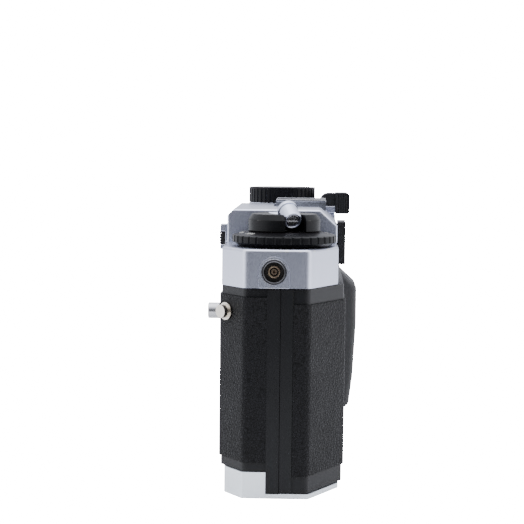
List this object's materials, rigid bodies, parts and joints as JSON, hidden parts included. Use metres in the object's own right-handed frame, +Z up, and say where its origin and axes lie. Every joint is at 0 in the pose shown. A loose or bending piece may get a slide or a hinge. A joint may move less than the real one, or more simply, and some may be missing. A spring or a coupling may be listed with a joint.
{
  "type": "35 mm film camera body",
  "caption": "Film camera body without a lens: chamfered leather-clad body, stepped metal top cover, folding rewind crank, dials, advance lever, accessory shoe and hinged film door.",
  "frame": {"origin": "mouth of the tripod socket, in the middle of the base", "axes": "+X towards the rewind end, -Y out of the lens mount, +Y out of the film door, +Z up"},
  "size_m": [0.1384, 0.0485, 0.0882],
  "materials": {
    "black_paint": "satin black paint",
    "cast_alloy": "die-cast light alloy in satin black",
    "leather": "black pebbled leather",
    "satin_silver": "satin chrome plating",
    "base_silver": "satin chrome plating, slightly cool",
    "black_plastic": "fine-grained black plastic",
    "black_anodised": "black anodised metal",
    "bare_steel": "turned bare steel",
    "nickel": "warm nickel plating",
    "brass": "dull brass",
    "insulator": "moulded black insulator",
    "glass": "coated optical glass",
    "frosted": "frosted window",
    "blade_metal": "matt grey shutter metal"
  },
  "bodies": {
    "camera_body": {"body_casting": "cast_alloy", "front_leather": "leather", "top_cover": "satin_silver", "base_cover": "base_silver", "film_gate": "cast_alloy", "shutter_frame": "black_paint", "lens_mount_ring": "bare_steel", "mount_screws": "bare_steel", "finder_block": "black_plastic", "finder_window": "glass", "illumination_window": "frosted", "rangefinder_window": "glass", "eyepiece_frame": "black_plastic", "eyepiece_lens": "glass", "hot_shoe": "satin_silver", "shoe_contact": "brass", "shoe_spring": "bare_steel", "pc_collar": "satin_silver", "pc_insulator": "insulator", "pc_shell": "brass", "pc_pin": "brass", "strap_lug_near": "nickel", "strap_lug_far": "nickel", "tripod_bush": "bare_steel", "base_screws": "bare_steel", "rewind_boss": "black_anodised", "dial_collar": "satin_silver", "release_bush": "satin_silver", "counter_window": "glass", "hinge_pin": "bare_steel", "battery_cells": "bare_steel"},
    "rewind_sleeve": {"rewind_collar": "black_anodised"},
    "rewind_knob": {"rewind_knob": "black_anodised", "rewind_shaft": "bare_steel", "crank_pin": "bare_steel"},
    "crank": {"crank_arm": "satin_silver", "crank_screw": "bare_steel"},
    "crank_handle": {"crank_handle": "satin_silver"},
    "film_speed_ring": {"film_speed_ring": "black_anodised"},
    "shutter_dial": {"shutter_dial": "black_anodised"},
    "release_button": {"release_button": "satin_silver"},
    "advance_lever": {"advance_lever": "satin_silver", "lever_tip": "black_plastic", "lever_cap": "satin_silver"},
    "takeup_spool": {"takeup_spool": "black_plastic"},
    "film_sprocket": {"film_sprocket": "black_plastic"},
    "counter_disc": {"counter_disc": "black_plastic"},
    "frame_selector": {"selector_plate": "satin_silver", "selector_grip": "black_plastic"},
    "lens_release": {"lens_release_button": "bare_steel"},
    "battery_cap": {"battery_cap": "base_silver"},
    "rewind_release": {"rewind_release": "bare_steel"},
    "film_door": {"back_door": "cast_alloy", "door_leather": "leather", "thumb_rest": "black_plastic"},
    "pressure_plate": {"pressure_plate": "black_paint"},
    "shutter_blade_1": {"shutter_blade_1": "blade_metal"},
    "shutter_blade_2": {"shutter_blade_2": "blade_metal"},
    "shutter_blade_3": {"shutter_blade_3": "blade_metal"}
  },
  "joints": [
    {"name": "rewind_pull", "type": "slide", "parent": "camera_body", "child": "rewind_sleeve", "axis": [0, 0, 1], "range_m": [0, 0.006]},
    {"name": "rewind_turn", "type": "hinge", "parent": "rewind_sleeve", "child": "rewind_knob", "pos_m": [0.052, 0, 0.08], "axis": [0, 0, 1], "continuous": true},
    {"name": "crank_fold", "type": "hinge", "parent": "rewind_knob", "child": "crank", "pos_m": [0.04617, -0.00212, 0.0813], "axis": [0.342, -0.9397, 0], "range_deg": [0, 120]},
    {"name": "crank_handle_spin", "type": "hinge", "parent": "crank", "child": "crank_handle", "pos_m": [0.05491, 0.00106, 0.0832], "axis": [0.8138, 0.2962, -0.5], "continuous": true},
    {"name": "film_speed_turn", "type": "hinge", "parent": "camera_body", "child": "film_speed_ring", "pos_m": [0.052, 0, 0.075], "axis": [0, 0, 1], "range_deg": [-150, 150]},
    {"name": "shutter_dial_turn", "type": "hinge", "parent": "camera_body", "child": "shutter_dial", "pos_m": [-0.03, -0.0024, 0.085], "axis": [0, 0, 1], "range_deg": [-150, 150]},
    {"name": "release_press", "type": "slide", "parent": "camera_body", "child": "release_button", "axis": [0, 0, -1], "range_m": [0, 0.0012], "stiffness_N_per_m": 300},
    {"name": "lever_advance", "type": "hinge", "parent": "camera_body", "child": "advance_lever", "pos_m": [-0.05, -0.002, 0.08], "axis": [0, 0, 1], "range_deg": [0, 130], "stiffness_Nm_per_rad": 0.02},
    {"name": "takeup_turn", "type": "hinge", "parent": "camera_body", "child": "takeup_spool", "pos_m": [-0.05, -0.002, 0.035], "axis": [0, 0, 1], "range_deg": [-430, 0]},
    {"name": "sprocket_turn", "type": "hinge", "parent": "camera_body", "child": "film_sprocket", "pos_m": [-0.0285, 0.0032, 0.035], "axis": [0, 0, 1], "range_deg": [0, 450]},
    {"name": "counter_turn", "type": "hinge", "parent": "camera_body", "child": "counter_disc", "pos_m": [-0.0575, -0.0085, 0.077], "axis": [0, 0, 1], "range_deg": [-14, 0]},
    {"name": "selector_slide", "type": "slide", "parent": "camera_body", "child": "frame_selector", "axis": [0, 0, -1], "range_m": [0, 0.004]},
    {"name": "lens_release_press", "type": "slide", "parent": "camera_body", "child": "lens_release", "axis": [0, 1, 0], "range_m": [0, 0.003], "stiffness_N_per_m": 200},
    {"name": "battery_cap_turn", "type": "hinge", "parent": "camera_body", "child": "battery_cap", "pos_m": [-0.032, -0.0094, 0.001], "axis": [0, 0, -1], "range_deg": [0, 90]},
    {"name": "rewind_release_press", "type": "slide", "parent": "camera_body", "child": "rewind_release", "axis": [0, 0, 1], "range_m": [0, 0.0012], "stiffness_N_per_m": 200},
    {"name": "door_hinge", "type": "hinge", "parent": "camera_body", "child": "film_door", "pos_m": [-0.0668, 0.0028, 0.031], "axis": [0, 0, 1], "range_deg": [0, 105]},
    {"name": "pressure_plate_press", "type": "slide", "parent": "film_door", "child": "pressure_plate", "axis": [0, 1, 0], "range_m": [0, 0.001], "stiffness_N_per_m": 500},
    {"name": "shutter_run", "type": "slide", "parent": "camera_body", "child": "shutter_blade_1", "axis": [0, 0, -1], "range_m": [0, 0.0248], "stiffness_N_per_m": 60},
    {"name": "shutter_run_2", "type": "slide", "parent": "camera_body", "child": "shutter_blade_2", "axis": [0, 0, -1], "range_m": [0, 0.01672]},
    {"name": "shutter_run_3", "type": "slide", "parent": "camera_body", "child": "shutter_blade_3", "axis": [0, 0, -1], "range_m": [0, 0.00862]}
  ],
  "couplings": [
    {"joint": "takeup_turn", "follows": "lever_advance", "ratio": -2.65},
    {"joint": "sprocket_turn", "follows": "lever_advance", "ratio": 2.769},
    {"joint": "counter_turn", "follows": "lever_advance", "ratio": -0.0692},
    {"joint": "shutter_run_2", "follows": "shutter_run", "ratio": 0.67339},
    {"joint": "shutter_run_3", "follows": "shutter_run", "ratio": 0.34677}
  ]
}
